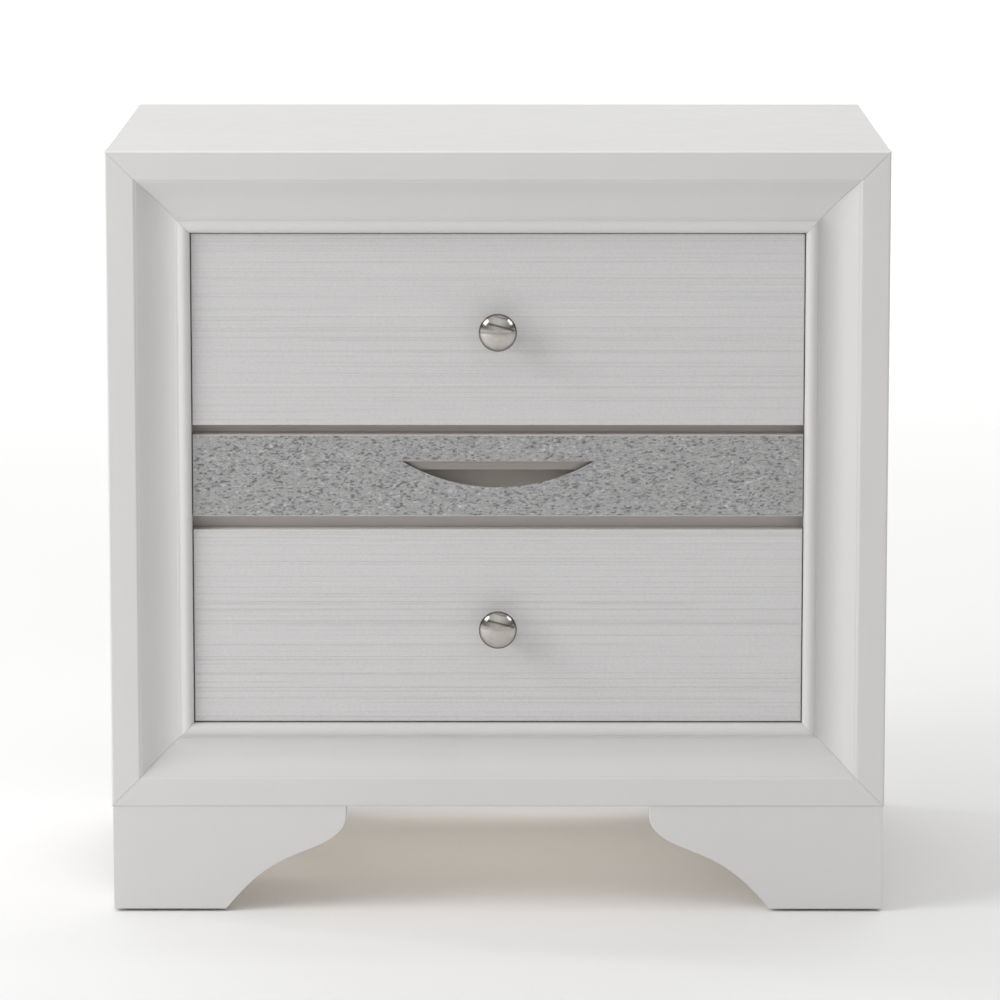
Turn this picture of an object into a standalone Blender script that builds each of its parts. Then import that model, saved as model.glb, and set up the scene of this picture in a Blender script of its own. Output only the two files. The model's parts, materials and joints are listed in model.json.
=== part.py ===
"""A nightstand: a case with a mitred moulding frame, bracket feet and three drawers.

Metres, +Z up, the front faces -Y. The origin is on the floor, midway between the
sides, and midway between the knobs' tips and the back.
"""

import math

import bmesh
import bpy
from mathutils import Matrix, Vector

# Driving dimensions of the case
WIDTH = 0.610
DEPTH = 0.406
HEIGHT = 0.604
FOOT_HEIGHT = 0.085
PANEL = 0.018
BOTTOM_PANEL = 0.015
BACK_PANEL = 0.005
BACK_RABBET = 0.009
GAP = 0.0003
EASE = 0.0008
CUT_SPARE = 0.0015
SHARP_ANGLE = math.radians(40)
MITRE_ANGLE = math.radians(100)

# The moulding frame round the front: its section is measured from its outer edge
# inwards, and from its foremost face backwards. The cove slopes down straight, bends,
# and rises a little towards the fillet's three corners
MEMBER_WIDTH = 0.065
MEMBER_DEPTH = 0.022
CORNER_RADIUS = 0.002
FLAT_WIDTH = 0.0219
STEP_WIDTH = 0.0019
STEP_DEPTH = 0.0014
COVE_START = 0.0243
COVE_BEND = 0.0320
COVE_END = 0.0530
COVE_SLOPE = math.radians(40)
COVE_RISE = math.radians(13)
FILLET = ((0.0534, 0.0122), (0.0539, 0.0119), (0.0546, 0.0119))
BEAD_START = 0.0548
BEAD_BACK = 0.0128
BEAD_HEIGHT = 0.0050

# Drawers
REVEAL_SIDE = 0.0012
REVEAL_END = 0.0012
TOP_FRONT = 0.1502
JEWEL_FRONT = 0.0642
BOTTOM_FRONT = 0.1530
LOWER_SPACE = 0.0112
UPPER_SPACE = 0.0081
FRONT_RECESS = 0.0145
FRONT_THICKNESS = 0.016
DIVIDER_THICKNESS = 0.019
DIVIDER_DEPTH = 0.060
CLOSED_GAP = 0.001
BOX_HALF_WIDTH = 0.233
BOX_LENGTH = 0.345
BOX_BOARD = 0.012
BOX_LIFT = 0.003
BIG_BOX = 0.125
JEWEL_BOX = 0.046
GROOVE_DEPTH = 0.005
GROOVE_HEIGHT = 0.008
BOX_BOTTOM = 0.006

# Crescent finger pull of the jewel drawer
PULL_HALF_WIDTH = 0.075
PULL_SAGITTA = 0.0207
PULL_TOP = 0.0434
PULL_SCOOP = 0.007

# Knobs and their screws
KNOB_RADIUS = 0.0149
KNOB_LENGTH = 0.025
KNOB_DOME = 0.0062
KNOB_EDGE = 0.0010
KNOB_BORE = 0.0021
KNOB_BORE_DEPTH = 0.010
SCREW_RADIUS = 0.0019
SCREW_HOLE = 0.0026
SCREW_HEAD = 0.0042
SCREW_HEAD_HEIGHT = 0.0025

# Centre-mounted metal glides
RAIL_HALF_WIDTH = 0.015
RAIL_HEIGHT = 0.007
RAIL_SLOT = 0.0088
SHEET = 0.0012
RUNNER_LEG = 0.007
RUNNER_FOOT = 0.0125
RUNNER_LIFT = 0.0042
SOCKET_HALF_WIDTH = 0.023
SOCKET_BASE = 0.006
SOCKET_LENGTH = 0.018

# Bracket feet
FOOT_INSET = 0.001
FOOT_BOARD = 0.020
FACE_REACH = 0.1845
SIDE_REACH = 0.1645
POST = 0.040
PAD_HEIGHT = 0.002
PAD_RADIUS = 0.014

# Levels and planes worked out from them
KNOB_PROUD = KNOB_LENGTH + GAP - FRONT_RECESS
FRONT_Y = -DEPTH / 2 + KNOB_PROUD / 2
BACK_Y = FRONT_Y + DEPTH
BEHIND_FRAME = FRONT_Y + MEMBER_DEPTH + GAP
BACK_PANEL_Y = BACK_Y - BACK_PANEL
HALF_WIDTH = WIDTH / 2
INSIDE_X = HALF_WIDTH - PANEL
OPENING_HALF = HALF_WIDTH - MEMBER_WIDTH
OPENING_LOW = FOOT_HEIGHT + MEMBER_WIDTH
FRONT_FACE_Y = FRONT_Y + FRONT_RECESS
BOTTOM_FRONT_LOW = OPENING_LOW + REVEAL_END
JEWEL_FRONT_LOW = BOTTOM_FRONT_LOW + BOTTOM_FRONT + LOWER_SPACE
TOP_FRONT_LOW = JEWEL_FRONT_LOW + JEWEL_FRONT + UPPER_SPACE
LOWER_DIVIDER_LOW = JEWEL_FRONT_LOW - LOWER_SPACE / 2 - DIVIDER_THICKNESS / 2
UPPER_DIVIDER_LOW = TOP_FRONT_LOW - UPPER_SPACE / 2 - DIVIDER_THICKNESS / 2
BOX_START = FRONT_THICKNESS + GAP
RAIL_START = BOX_START + BOX_BOARD + 0.0017
RAIL_END = BACK_PANEL_Y - FRONT_FACE_Y - GAP

# Each drawer: its support's height, its front's lowest edge, the front's and the box's height
DRAWERS = {
    "top": (UPPER_DIVIDER_LOW + DIVIDER_THICKNESS, TOP_FRONT_LOW, TOP_FRONT, BIG_BOX),
    "jewel": (LOWER_DIVIDER_LOW + DIVIDER_THICKNESS, JEWEL_FRONT_LOW, JEWEL_FRONT, JEWEL_BOX),
    "bottom": (OPENING_LOW, BOTTOM_FRONT_LOW, BOTTOM_FRONT, BIG_BOX),
}

# Name: colour, roughness, metallic
MATERIALS = {
    "white_lacquer": ((0.80, 0.79, 0.78), 0.32, 0.0),
    "combed_laminate": ((0.70, 0.70, 0.70), 0.45, 0.0),
    "glitter_foil": ((0.52, 0.52, 0.53), 0.35, 0.6),
    "brushed_nickel": ((0.62, 0.60, 0.57), 0.25, 1.0),
    "zinc_steel": ((0.58, 0.59, 0.60), 0.35, 1.0),
    "box_birch": ((0.72, 0.60, 0.44), 0.60, 0.0),
    "grey_plastic": ((0.35, 0.35, 0.36), 0.50, 0.0),
}


def clear_scene():
    for item in list(bpy.data.objects):
        bpy.data.objects.remove(item, do_unlink=True)


def make_collection(name):
    found = bpy.data.collections.new(name)
    bpy.context.scene.collection.children.link(found)
    return found


def make_material(name, colour, roughness, metallic):
    made = bpy.data.materials.new(name)
    made.use_nodes = True
    shader = made.node_tree.nodes["Principled BSDF"]
    shader.inputs["Base Color"].default_value = (*colour, 1.0)
    shader.inputs["Roughness"].default_value = roughness
    shader.inputs["Metallic"].default_value = metallic
    return made


def add_object(name, bm, material, parent=None):
    """An object of the nightstand, from a bmesh that is used up here."""
    bmesh.ops.recalc_face_normals(bm, faces=bm.faces[:])
    weight = bm.edges.layers.float.new("bevel_weight_edge")
    for edge in bm.edges:
        edge[weight] = float(SHARP_ANGLE < edge.calc_face_angle_signed() < MITRE_ANGLE)
    mesh = bpy.data.meshes.new(name)
    bm.to_mesh(mesh)
    bm.free()
    mesh.materials.append(bpy.data.materials[material])
    made = bpy.data.objects.new(name, mesh)
    made.parent = parent
    bpy.data.collections["nightstand"].objects.link(made)
    return made


def ease_edges(piece, segments=2):
    """Rounds the outward edges that add_object weighted: not the inward ones, nor a mitre's."""
    bevel = piece.modifiers.new("eased_edges", "BEVEL")
    bevel.width = EASE
    bevel.segments = segments
    bevel.limit_method = "WEIGHT"
    return piece


def box_mesh(low, high):
    bm = bmesh.new()
    bmesh.ops.create_cube(bm, size=1.0)
    size = Vector(high) - Vector(low)
    bmesh.ops.scale(bm, vec=size, verts=bm.verts)
    bmesh.ops.translate(bm, vec=(Vector(high) + Vector(low)) / 2, verts=bm.verts)
    return bm


def board(name, low, high, material, parent=None):
    return ease_edges(add_object(name, box_mesh(low, high), material, parent), segments=1)


def prism_mesh(outline, axis, start, stop):
    """The outline swept along an axis. Its points are (y, z), (x, z) or (x, y)."""
    slot = "XYZ".index(axis)
    bm = bmesh.new()
    corners = []
    for point in outline:
        place = list(point)
        place.insert(slot, start)
        corners.append(bm.verts.new(place))
    face = bm.faces.new(corners)
    swept = bmesh.ops.extrude_face_region(bm, geom=[face])
    moved = [item for item in swept["geom"] if isinstance(item, bmesh.types.BMVert)]
    sweep = Vector((0, 0, 0))
    sweep[slot] = stop - start
    bmesh.ops.translate(bm, vec=sweep, verts=moved)
    return bm


def cut_off(bm, point, normal):
    """Removes what lies beyond a plane, and closes the cut."""
    geometry = bm.verts[:] + bm.edges[:] + bm.faces[:]
    bmesh.ops.bisect_plane(bm, geom=geometry, plane_co=point, plane_no=normal, clear_outer=True)
    rim = [edge for edge in bm.edges if edge.is_boundary]
    bmesh.ops.holes_fill(bm, edges=rim)


def shade_smooth(piece, angle=30):
    piece.data.shade_smooth()
    piece.data.set_sharp_from_angle(angle=math.radians(angle))
    return piece


def add_cutter(name, bm, parent=None):
    bmesh.ops.recalc_face_normals(bm, faces=bm.faces[:])
    mesh = bpy.data.meshes.new(name)
    bm.to_mesh(mesh)
    bm.free()
    made = bpy.data.objects.new(name, mesh)
    made.parent = parent
    made.hide_render = True
    made.display_type = "WIRE"
    bpy.data.collections["cutters"].objects.link(made)
    return made


def cut_with(piece, cutter):
    cut = piece.modifiers.new(cutter.name, "BOOLEAN")
    cut.operation = "DIFFERENCE"
    cut.solver = "EXACT"
    cut.object = cutter


def quarter_turns(centre, radii, steps, start, stop):
    """Points of an elliptical arc between two angles in degrees, both ends included."""
    points = []
    for step in range(steps + 1):
        angle = math.radians(start + (stop - start) * step / steps)
        across = centre[0] + radii[0] * math.cos(angle)
        along = centre[1] + radii[1] * math.sin(angle)
        points.append((across, along))
    return points


def bezier_points(start, first, second, stop, steps):
    """Points of a cubic curve, without its last one."""
    points = []
    for step in range(steps):
        t = step / steps
        weights = ((1 - t) ** 3, 3 * t * (1 - t) ** 2, 3 * t**2 * (1 - t), t**3)
        corners = (start, first, second, stop)
        points.append(tuple(sum(w * c[k] for w, c in zip(weights, corners)) for k in (0, 1)))
    return points


# The frame


def moulding_outline():
    """The frame member's section as (inwards, backwards): flat, step, cove, fillet, bead."""
    corner = quarter_turns((CORNER_RADIUS, CORNER_RADIUS), (CORNER_RADIUS,) * 2, 4, 180, 270)
    step = [(FLAT_WIDTH, 0), (FLAT_WIDTH + STEP_WIDTH, STEP_DEPTH), (COVE_START, STEP_DEPTH)]
    radius = (COVE_END - COVE_BEND) / (math.sin(COVE_SLOPE) + math.sin(COVE_RISE))
    bend_depth = STEP_DEPTH + (COVE_BEND - COVE_START) * math.tan(COVE_SLOPE)
    centre = (COVE_BEND + radius * math.sin(COVE_SLOPE), bend_depth - radius * math.cos(COVE_SLOPE))
    first = 90 + math.degrees(COVE_SLOPE)
    last = 90 - math.degrees(COVE_RISE)
    cove = quarter_turns(centre, (radius, radius), 12, first, last)
    bead_size = ((MEMBER_WIDTH - BEAD_START) / 2, BEAD_HEIGHT)
    bead_centre = ((MEMBER_WIDTH + BEAD_START) / 2, BEAD_BACK)
    bead = quarter_turns(bead_centre, bead_size, 12, 190, 360)
    back = [(MEMBER_WIDTH, MEMBER_DEPTH), (0, MEMBER_DEPTH)]
    return corner + step + cove + list(FILLET) + bead + back


def frame_member(name, length, distance, turn):
    """One mitred side of the frame, at a distance from the frame's middle and turned round it."""
    outline = [(FRONT_Y + v, distance - u) for u, v in moulding_outline()]
    bm = prism_mesh(outline, "X", -length / 2, length / 2)
    for side in (-1, 1):
        end = Vector((side * (length / 2 - GAP), 0, distance))
        cut_off(bm, end, Vector((side, 0, -1)))
    middle = Matrix.Translation((0, 0, FOOT_HEIGHT + (HEIGHT - FOOT_HEIGHT) / 2))
    spin = Matrix.Rotation(math.radians(turn), 4, "Y")
    bmesh.ops.transform(bm, matrix=middle @ spin, verts=bm.verts)
    return shade_smooth(add_object(name, bm, "white_lacquer"))


def build_frame():
    height = HEIGHT - FOOT_HEIGHT
    frame_member("frame_rail_top", WIDTH, height / 2, 0)
    frame_member("frame_stile_right", height, WIDTH / 2, 90)
    frame_member("frame_rail_bottom", WIDTH, height / 2, 180)
    frame_member("frame_stile_left", height, WIDTH / 2, 270)


# The case


def build_panels():
    under_top = HEIGHT - PANEL
    low = (-HALF_WIDTH, BEHIND_FRAME, under_top)
    high = (HALF_WIDTH, BACK_Y, HEIGHT)
    board("top_panel", low, high, "white_lacquer")
    for side, sign in (("left", -1), ("right", 1)):
        # The rear inner edge has a rabbet that holds the back panel
        outline = [
            (sign * HALF_WIDTH, BEHIND_FRAME),
            (sign * INSIDE_X, BEHIND_FRAME),
            (sign * INSIDE_X, BACK_PANEL_Y - GAP),
            (sign * (HALF_WIDTH - BACK_RABBET), BACK_PANEL_Y - GAP),
            (sign * (HALF_WIDTH - BACK_RABBET), BACK_Y),
            (sign * HALF_WIDTH, BACK_Y),
        ]
        bm = prism_mesh(outline, "Z", FOOT_HEIGHT, under_top - GAP)
        ease_edges(add_object("side_panel_" + side, bm, "white_lacquer"), segments=1)
    back_half = HALF_WIDTH - BACK_RABBET - GAP
    low = (-back_half, BACK_PANEL_Y, FOOT_HEIGHT)
    high = (back_half, BACK_Y, under_top - GAP)
    board("back_panel", low, high, "white_lacquer")
    inner_half = INSIDE_X - GAP
    low = (-inner_half, BEHIND_FRAME, OPENING_LOW - BOTTOM_PANEL)
    high = (inner_half, BACK_PANEL_Y - GAP, OPENING_LOW)
    board("bottom_panel", low, high, "box_birch")
    low = (-inner_half, BACK_PANEL_Y - GAP - PANEL, FOOT_HEIGHT)
    high = (inner_half, BACK_PANEL_Y - GAP, OPENING_LOW - BOTTOM_PANEL - GAP)
    board("back_rail", low, high, "box_birch")


def build_dividers():
    front = FRONT_FACE_Y + FRONT_THICKNESS + CLOSED_GAP
    inner_half = INSIDE_X - GAP
    for name, level in (("upper", UPPER_DIVIDER_LOW), ("lower", LOWER_DIVIDER_LOW)):
        low = (-inner_half, front, level)
        high = (inner_half, front + DIVIDER_DEPTH, level + DIVIDER_THICKNESS)
        board("divider_rail_" + name, low, high, "white_lacquer")


# The feet


def ogee_outline(reach):
    """A bracket board's outline as (from the corner, height): convex above, then concave."""
    top = FOOT_HEIGHT - GAP
    foot = PAD_HEIGHT
    lip = (reach, foot + 0.0755)
    bend = (reach - 0.0325, foot + 0.0472)
    toe = (reach - 0.0955, foot)
    bulge = bezier_points(lip, (reach, foot + 0.062), (reach - 0.0145, foot + 0.054), bend, 8)
    hollow = bezier_points(bend, (reach - 0.0545, foot + 0.0385), (reach - 0.0715, foot + 0.030), toe, 9)
    return [(0, foot), (0, top), (reach, top)] + bulge + hollow + [toe]


def foot_board(name, reach, along_depth, to_corner):
    """A bracket board whose outer end is mitred against its neighbour at the foot's corner."""
    bm = prism_mesh(ogee_outline(reach), "Y", 0, FOOT_BOARD)
    cut_off(bm, Vector((GAP, 0, 0)), Vector((-1, 1, 0)))
    if along_depth:
        swap = Matrix(((0, 1, 0, 0), (1, 0, 0, 0), (0, 0, 1, 0), (0, 0, 0, 1)))
        bmesh.ops.transform(bm, matrix=swap, verts=bm.verts)
    bmesh.ops.transform(bm, matrix=to_corner, verts=bm.verts)
    piece = add_object(name, bm, "white_lacquer")
    return ease_edges(shade_smooth(piece), segments=1)


def build_foot(name, x_sign, y_sign):
    """One foot at a corner of the case; x_sign and y_sign point outwards."""
    corner_x = x_sign * (HALF_WIDTH - FOOT_INSET)
    corner_y = (BACK_Y if y_sign > 0 else FRONT_Y) - y_sign * FOOT_INSET
    inwards = Matrix.Diagonal((-x_sign, -y_sign, 1, 1))
    to_corner = Matrix.Translation((corner_x, corner_y, 0)) @ inwards
    foot_board(name + "_face", FACE_REACH, False, to_corner)
    foot_board(name + "_side", SIDE_REACH, True, to_corner)

    post_x = corner_x - x_sign * (FOOT_BOARD + GAP)
    wall_y = BEHIND_FRAME if y_sign < 0 else BACK_PANEL_Y - 2 * GAP - PANEL
    ends_x = sorted((post_x, post_x - x_sign * POST))
    ends_y = sorted((wall_y, wall_y - y_sign * POST))
    low = (ends_x[0], ends_y[0], PAD_HEIGHT)
    high = (ends_x[1], ends_y[1], OPENING_LOW - BOTTOM_PANEL - GAP)
    board(name + "_post", low, high, "box_birch")

    pad = bmesh.new()
    bmesh.ops.create_cone(
        pad,
        cap_ends=True,
        segments=24,
        radius1=PAD_RADIUS - 0.0006,
        radius2=PAD_RADIUS,
        depth=PAD_HEIGHT - GAP,
    )
    middle = (sum(ends_x) / 2, sum(ends_y) / 2, (PAD_HEIGHT - GAP) / 2)
    bmesh.ops.translate(pad, vec=middle, verts=pad.verts)
    shade_smooth(add_object(name + "_pad", pad, "grey_plastic"))


def build_feet():
    for depth_name, y_sign in (("front", -1), ("rear", 1)):
        for side_name, x_sign in (("left", -1), ("right", 1)):
            build_foot("foot_" + depth_name + "_" + side_name, x_sign, y_sign)


# The glides


def rail_outline(floor):
    """The fixed rail's C section, open at its top."""
    half = RAIL_HALF_WIDTH
    top = floor + RAIL_HEIGHT
    right = [
        (half, floor),
        (half, top),
        (RAIL_SLOT, top),
        (RAIL_SLOT, top - SHEET),
        (half - SHEET, top - SHEET),
        (half - SHEET, floor + SHEET),
    ]
    return right + [(-x, z) for x, z in reversed(right)]


def runner_outline(floor, crown):
    """The drawer's hat-shaped runner, whose feet stay under the rail's lips."""
    right = [
        (RUNNER_FOOT, floor),
        (RUNNER_FOOT, floor + SHEET),
        (RUNNER_LEG, floor + SHEET),
        (RUNNER_LEG, crown),
    ]
    inner = [
        (-RUNNER_LEG + SHEET, crown - SHEET),
        (RUNNER_LEG - SHEET, crown - SHEET),
        (RUNNER_LEG - SHEET, floor),
    ]
    left = [(-x, z) for x, z in reversed(right)]
    return right + left + [(-RUNNER_LEG + SHEET, floor)] + inner


def socket_outline(floor):
    """The U section of the plastic socket that holds the rail's rear end."""
    notch = RAIL_HALF_WIDTH + GAP
    top = floor + RAIL_HEIGHT
    right = [(SOCKET_HALF_WIDTH, floor - SOCKET_BASE), (SOCKET_HALF_WIDTH, top), (notch, top), (notch, floor)]
    return right + [(-x, z) for x, z in reversed(right)]


def build_fixed_glide(drawer, support):
    start = FRONT_FACE_Y + RAIL_START
    end = FRONT_FACE_Y + RAIL_END
    bm = prism_mesh(rail_outline(support + GAP), "Y", start, end)
    add_object("glide_rail_" + drawer, bm, "zinc_steel")
    if drawer != "bottom":
        # The bottom drawer's rail lies on the bottom panel and needs no socket
        bm = prism_mesh(socket_outline(support), "Y", end - SOCKET_LENGTH, end)
        ease_edges(add_object("glide_socket_" + drawer, bm, "grey_plastic"), segments=1)


# The drawers. Each is built round its own origin, at its front's face on its support


def pull_outline(top):
    """The crescent: a straight upper edge over a circular arc."""
    radius = (PULL_HALF_WIDTH**2 + PULL_SAGITTA**2) / (2 * PULL_SAGITTA)
    centre = top - PULL_SAGITTA + radius
    spread = math.degrees(math.asin(PULL_HALF_WIDTH / radius))
    return quarter_turns((0, centre), (radius, radius), 20, 270 - spread, 270 + spread)


def turned(name, profile, material, parent, place, steps):
    """A profile of (radius, distance forwards) turned round the drawer's forward axis."""
    bm = bmesh.new()
    points = [bm.verts.new((radius, 0, height)) for radius, height in profile]
    for first, second in zip(points, points[1:]):
        bm.edges.new((first, second))
    mesh = bpy.data.meshes.new(name)
    bm.to_mesh(mesh)
    bm.free()
    mesh.materials.append(bpy.data.materials[material])
    made = bpy.data.objects.new(name, mesh)
    made.parent = parent
    made.location = place
    made.rotation_euler = (math.pi / 2, 0, 0)
    bpy.data.collections["nightstand"].objects.link(made)
    screw = made.modifiers.new("turn", "SCREW")
    screw.axis = "Z"
    screw.steps = steps
    screw.render_steps = steps
    screw.use_merge_vertices = True
    screw.merge_threshold = 0.00001
    screw.use_smooth_shade = True
    return made


def knob_profile():
    """A mushroom knob from its tip down to its base, then up its blind bore."""
    width = KNOB_RADIUS - KNOB_EDGE
    radius = (width**2 + KNOB_DOME**2) / (2 * KNOB_DOME)
    rim = KNOB_LENGTH - KNOB_DOME
    last = math.degrees(math.acos(width / radius))
    dome = quarter_turns((0, KNOB_LENGTH - radius), (radius, radius), 8, 90, last)
    edge = quarter_turns((width, rim - 0.0011), (KNOB_EDGE, KNOB_EDGE), 4, 70, -80)
    under = quarter_turns((KNOB_RADIUS - 0.0018, 0.0065), (0.0083, 0.0098), 6, 98, 176)
    foot = [(0.0050, 0.0040), (0.0062, 0.0018), (0.0062, 0), (KNOB_BORE, 0)]
    bore = [(KNOB_BORE, KNOB_BORE_DEPTH), (0, KNOB_BORE_DEPTH)]
    return [(0, KNOB_LENGTH)] + dome[1:] + edge + under + foot + bore


def screw_profile():
    """A machine screw from its tip in the knob to its pan head inside the box."""
    tip = KNOB_BORE_DEPTH - 0.001
    seat = -(FRONT_THICKNESS + BOX_BOARD + 2 * GAP)
    end = seat - SCREW_HEAD_HEIGHT
    shank = [(0, tip), (SCREW_RADIUS - 0.0004, tip), (SCREW_RADIUS, tip - 0.0005), (SCREW_RADIUS, seat)]
    head = [(SCREW_HEAD, seat), (SCREW_HEAD, seat - 0.0012), (SCREW_HEAD - 0.0012, end), (0, end)]
    return shank + head


def add_knob(drawer, parent, height, pieces):
    """A knob, its screw, and the bores that the screw passes through."""
    length = FRONT_THICKNESS + BOX_BOARD + 2 * CUT_SPARE
    bore = bmesh.new()
    bmesh.ops.create_cone(
        bore, cap_ends=True, segments=20, radius1=SCREW_HOLE, radius2=SCREW_HOLE, depth=length
    )
    place = Matrix.Translation((0, (FRONT_THICKNESS + BOX_BOARD) / 2, height))
    bmesh.ops.transform(bore, matrix=place @ Matrix.Rotation(math.pi / 2, 4, "X"), verts=bore.verts)
    cutter = add_cutter("bore_" + drawer, bore, parent)
    for piece in pieces:
        cut_with(piece, cutter)
    turned("knob_" + drawer, knob_profile(), "brushed_nickel", parent, (0, -GAP, height), 28)
    turned("knob_screw_" + drawer, screw_profile(), "zinc_steel", parent, (0, 0, height), 12)


def grooved_side(name, sign, height, parent):
    """A box side, whose inner face has a groove for the drawer's bottom."""
    inner = BOX_HALF_WIDTH - BOX_BOARD
    floor = BOX_LIFT + GROOVE_HEIGHT
    ceiling = floor + BOX_BOTTOM + 2 * GAP
    groove = inner + GROOVE_DEPTH
    outline = [
        (BOX_HALF_WIDTH, BOX_LIFT),
        (BOX_HALF_WIDTH, BOX_LIFT + height),
        (inner, BOX_LIFT + height),
        (inner, ceiling),
        (groove, ceiling),
        (groove, floor),
        (inner, floor),
        (inner, BOX_LIFT),
    ]
    outline = [(sign * x, z) for x, z in outline]
    bm = prism_mesh(outline, "Y", BOX_START, BOX_START + BOX_LENGTH)
    return ease_edges(add_object(name, bm, "box_birch", parent), segments=1)


def grooved_box_front(name, height, parent):
    """The board behind a drawer's front, grooved on its rear face."""
    front = BOX_START
    back = BOX_START + BOX_BOARD
    floor = BOX_LIFT + GROOVE_HEIGHT
    ceiling = floor + BOX_BOTTOM + 2 * GAP
    outline = [
        (front, BOX_LIFT),
        (front, BOX_LIFT + height),
        (back, BOX_LIFT + height),
        (back, ceiling),
        (back - GROOVE_DEPTH, ceiling),
        (back - GROOVE_DEPTH, floor),
        (back, floor),
        (back, BOX_LIFT),
    ]
    half = BOX_HALF_WIDTH - BOX_BOARD - GAP
    bm = prism_mesh(outline, "X", -half, half)
    return ease_edges(add_object(name, bm, "box_birch", parent), segments=1)


def build_drawer(drawer, support, front_low, front_height, box_height):
    base = "drawer_" + drawer
    slide = bpy.data.objects.new(base + "_slide", None)
    slide.location = (0, FRONT_FACE_Y, support)
    bpy.data.collections["nightstand"].objects.link(slide)

    finish = "glitter_foil" if drawer == "jewel" else "combed_laminate"
    front_half = OPENING_HALF - REVEAL_SIDE
    low = (-front_half, 0, front_low - support)
    high = (front_half, FRONT_THICKNESS, front_low + front_height - support)
    front = board(base + "_front", low, high, finish, slide)
    box_front = grooved_box_front(base + "_box_front", box_height, slide)
    for side, sign in (("left", -1), ("right", 1)):
        grooved_side(base + "_side_" + side, sign, box_height, slide)

    inner_half = BOX_HALF_WIDTH - BOX_BOARD - GAP
    end = BOX_START + BOX_LENGTH
    panel_low = BOX_LIFT + GROOVE_HEIGHT + GAP
    panel_top = panel_low + BOX_BOTTOM
    low = (-inner_half, end - BOX_BOARD, panel_top + GAP)
    high = (inner_half, end, BOX_LIFT + box_height)
    board(base + "_back", low, high, "box_birch", slide)
    panel_half = inner_half + GROOVE_DEPTH
    low = (-panel_half, BOX_START + BOX_BOARD - GROOVE_DEPTH + GAP, panel_low)
    high = (panel_half, end, panel_top)
    add_object(base + "_bottom", box_mesh(low, high), "box_birch", slide)

    outline = runner_outline(GAP + RUNNER_LIFT, panel_low - GAP)
    bm = prism_mesh(outline, "Y", RAIL_START, end - BOX_BOARD / 2)
    add_object("glide_runner_" + drawer, bm, "zinc_steel", slide)

    if drawer == "jewel":
        top = front_low - support + PULL_TOP
        through = prism_mesh(pull_outline(top), "Y", -CUT_SPARE, BOX_START + PULL_SCOOP)
        cutter = add_cutter("pull_jewel", through, slide)
        cut_with(front, cutter)
        cut_with(box_front, cutter)
    else:
        height = front_low - support + front_height / 2
        add_knob(drawer, slide, height, (front, box_front))


def main():
    clear_scene()
    make_collection("nightstand")
    make_collection("cutters")
    for name, look in MATERIALS.items():
        make_material(name, *look)
    build_frame()
    build_panels()
    build_dividers()
    build_feet()
    for drawer, sizes in DRAWERS.items():
        build_fixed_glide(drawer, sizes[0])
        build_drawer(drawer, *sizes)


main()
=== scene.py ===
"""The nightstand's looks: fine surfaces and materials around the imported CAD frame."""

import json
import math

import bmesh
import bpy
import numpy as np
from mathutils import Matrix, Vector


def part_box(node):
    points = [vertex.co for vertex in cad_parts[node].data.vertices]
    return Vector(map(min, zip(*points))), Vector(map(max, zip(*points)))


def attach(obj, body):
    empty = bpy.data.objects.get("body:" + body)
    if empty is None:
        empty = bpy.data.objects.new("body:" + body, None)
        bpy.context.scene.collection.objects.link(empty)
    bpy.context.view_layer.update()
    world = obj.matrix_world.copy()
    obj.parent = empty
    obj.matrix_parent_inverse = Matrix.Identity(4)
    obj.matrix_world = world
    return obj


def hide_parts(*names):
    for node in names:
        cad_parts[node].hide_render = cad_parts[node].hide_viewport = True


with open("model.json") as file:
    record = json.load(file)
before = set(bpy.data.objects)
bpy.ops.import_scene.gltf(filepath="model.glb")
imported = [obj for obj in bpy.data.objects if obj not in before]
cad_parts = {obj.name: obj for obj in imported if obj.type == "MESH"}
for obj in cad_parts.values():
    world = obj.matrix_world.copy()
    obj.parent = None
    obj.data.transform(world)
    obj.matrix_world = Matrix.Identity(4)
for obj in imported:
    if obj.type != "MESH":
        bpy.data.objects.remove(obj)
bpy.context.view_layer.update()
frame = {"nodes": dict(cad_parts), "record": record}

MM = 0.001
NEAR = 0.001    # How close a point counts as lying on a plane
EDGE_ANGLES = (math.radians(50), math.radians(100))

# The case's planes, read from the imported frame
FRAME_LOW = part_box("frame_rail_bottom")[0]
FRAME_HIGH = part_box("frame_rail_top")[1]
FRONT_Y = FRAME_LOW[1]
CASE_LOW, CASE_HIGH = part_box("top_panel")
HALF_WIDTH = CASE_HIGH[0]
BACK_Y = CASE_HIGH[1]

# The moulding's section, from its outer edge inwards and from its face backwards
MEMBER_WIDTH = 0.065
MEMBER_DEPTH = FRAME_HIGH[1] - FRONT_Y
CORNER_RADIUS = 0.002
FLAT_WIDTH = 0.0219
STEP_CURVE = ((-0.0005, 0.0), (0.0002, 0.00014), (0.0009, 0.0006), (0.0015, 0.0011), (0.0020, 0.0014))
STEP_DEPTH = 0.0014
COVE_START = 0.0243
COVE_BEND = 0.0320
COVE_END = 0.0530
COVE_SLOPE = math.radians(40)
COVE_RISE = math.radians(13)
FILLET = ((0.0533, 0.0124), (0.0536, 0.0121), (0.0540, 0.0119), (0.0546, 0.0119))
BEAD_START = 0.0548
BEAD_BACK = 0.0128
BEAD_HEIGHT = 0.0050
MITRE_GAP = 0.00011
PAINTED_HIGHLIGHT_SHARE = 0.7    # How much of the top rail's rounded edge carries the painted highlight

# Panels, boards and rails
PANEL_SHARP = 35
TOP_ROUND = 0.0015
SIDE_ROUND = 0.0012
BOARD_ROUND = 0.0010
PANEL_SEAM = 0.0001
RABBET_EDGE = 0.009    # What the rabbet leaves of a side panel's thickness
BACK_SPARE = 0.0003
NODE_EASE = 0.0006
PLY = 0.0026

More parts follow.
